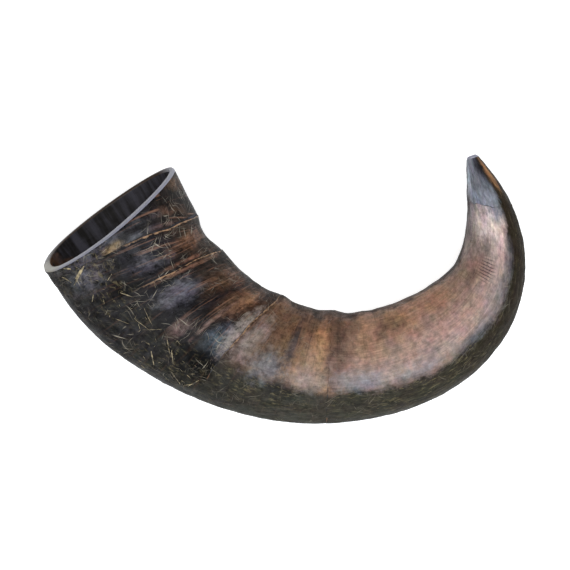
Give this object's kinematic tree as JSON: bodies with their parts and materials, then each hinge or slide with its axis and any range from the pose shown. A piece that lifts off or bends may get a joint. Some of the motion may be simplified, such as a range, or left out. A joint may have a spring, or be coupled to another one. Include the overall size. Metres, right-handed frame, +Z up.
{
  "type": "shofar",
  "caption": "Curved animal-horn trumpet, blown through a small hole at the tapered tip and sounding from a wide sawn bell.",
  "frame": {"origin": "on the surface the horn lies on, at the middle of its box", "axes": "+X from the bell to the bend and tip, +Y from the belly towards the two ends, +Z up from the surface"},
  "size_m": [0.2482, 0.1388, 0.0554],
  "materials": {
    "bell_keratin": "satin",
    "flare_keratin": "satin",
    "shoulder_keratin": "satin",
    "belly_keratin": "satin",
    "bend_keratin": "satin",
    "tip_keratin": "gloss"
  },
  "bodies": {
    "root": {"bell_cone": "bell_keratin", "flare_cone": "flare_keratin", "shoulder_cone": "shoulder_keratin", "belly_cone": "belly_keratin", "bend_cone": "bend_keratin", "tip_cone": "tip_keratin"}
  },
  "joints": []
}
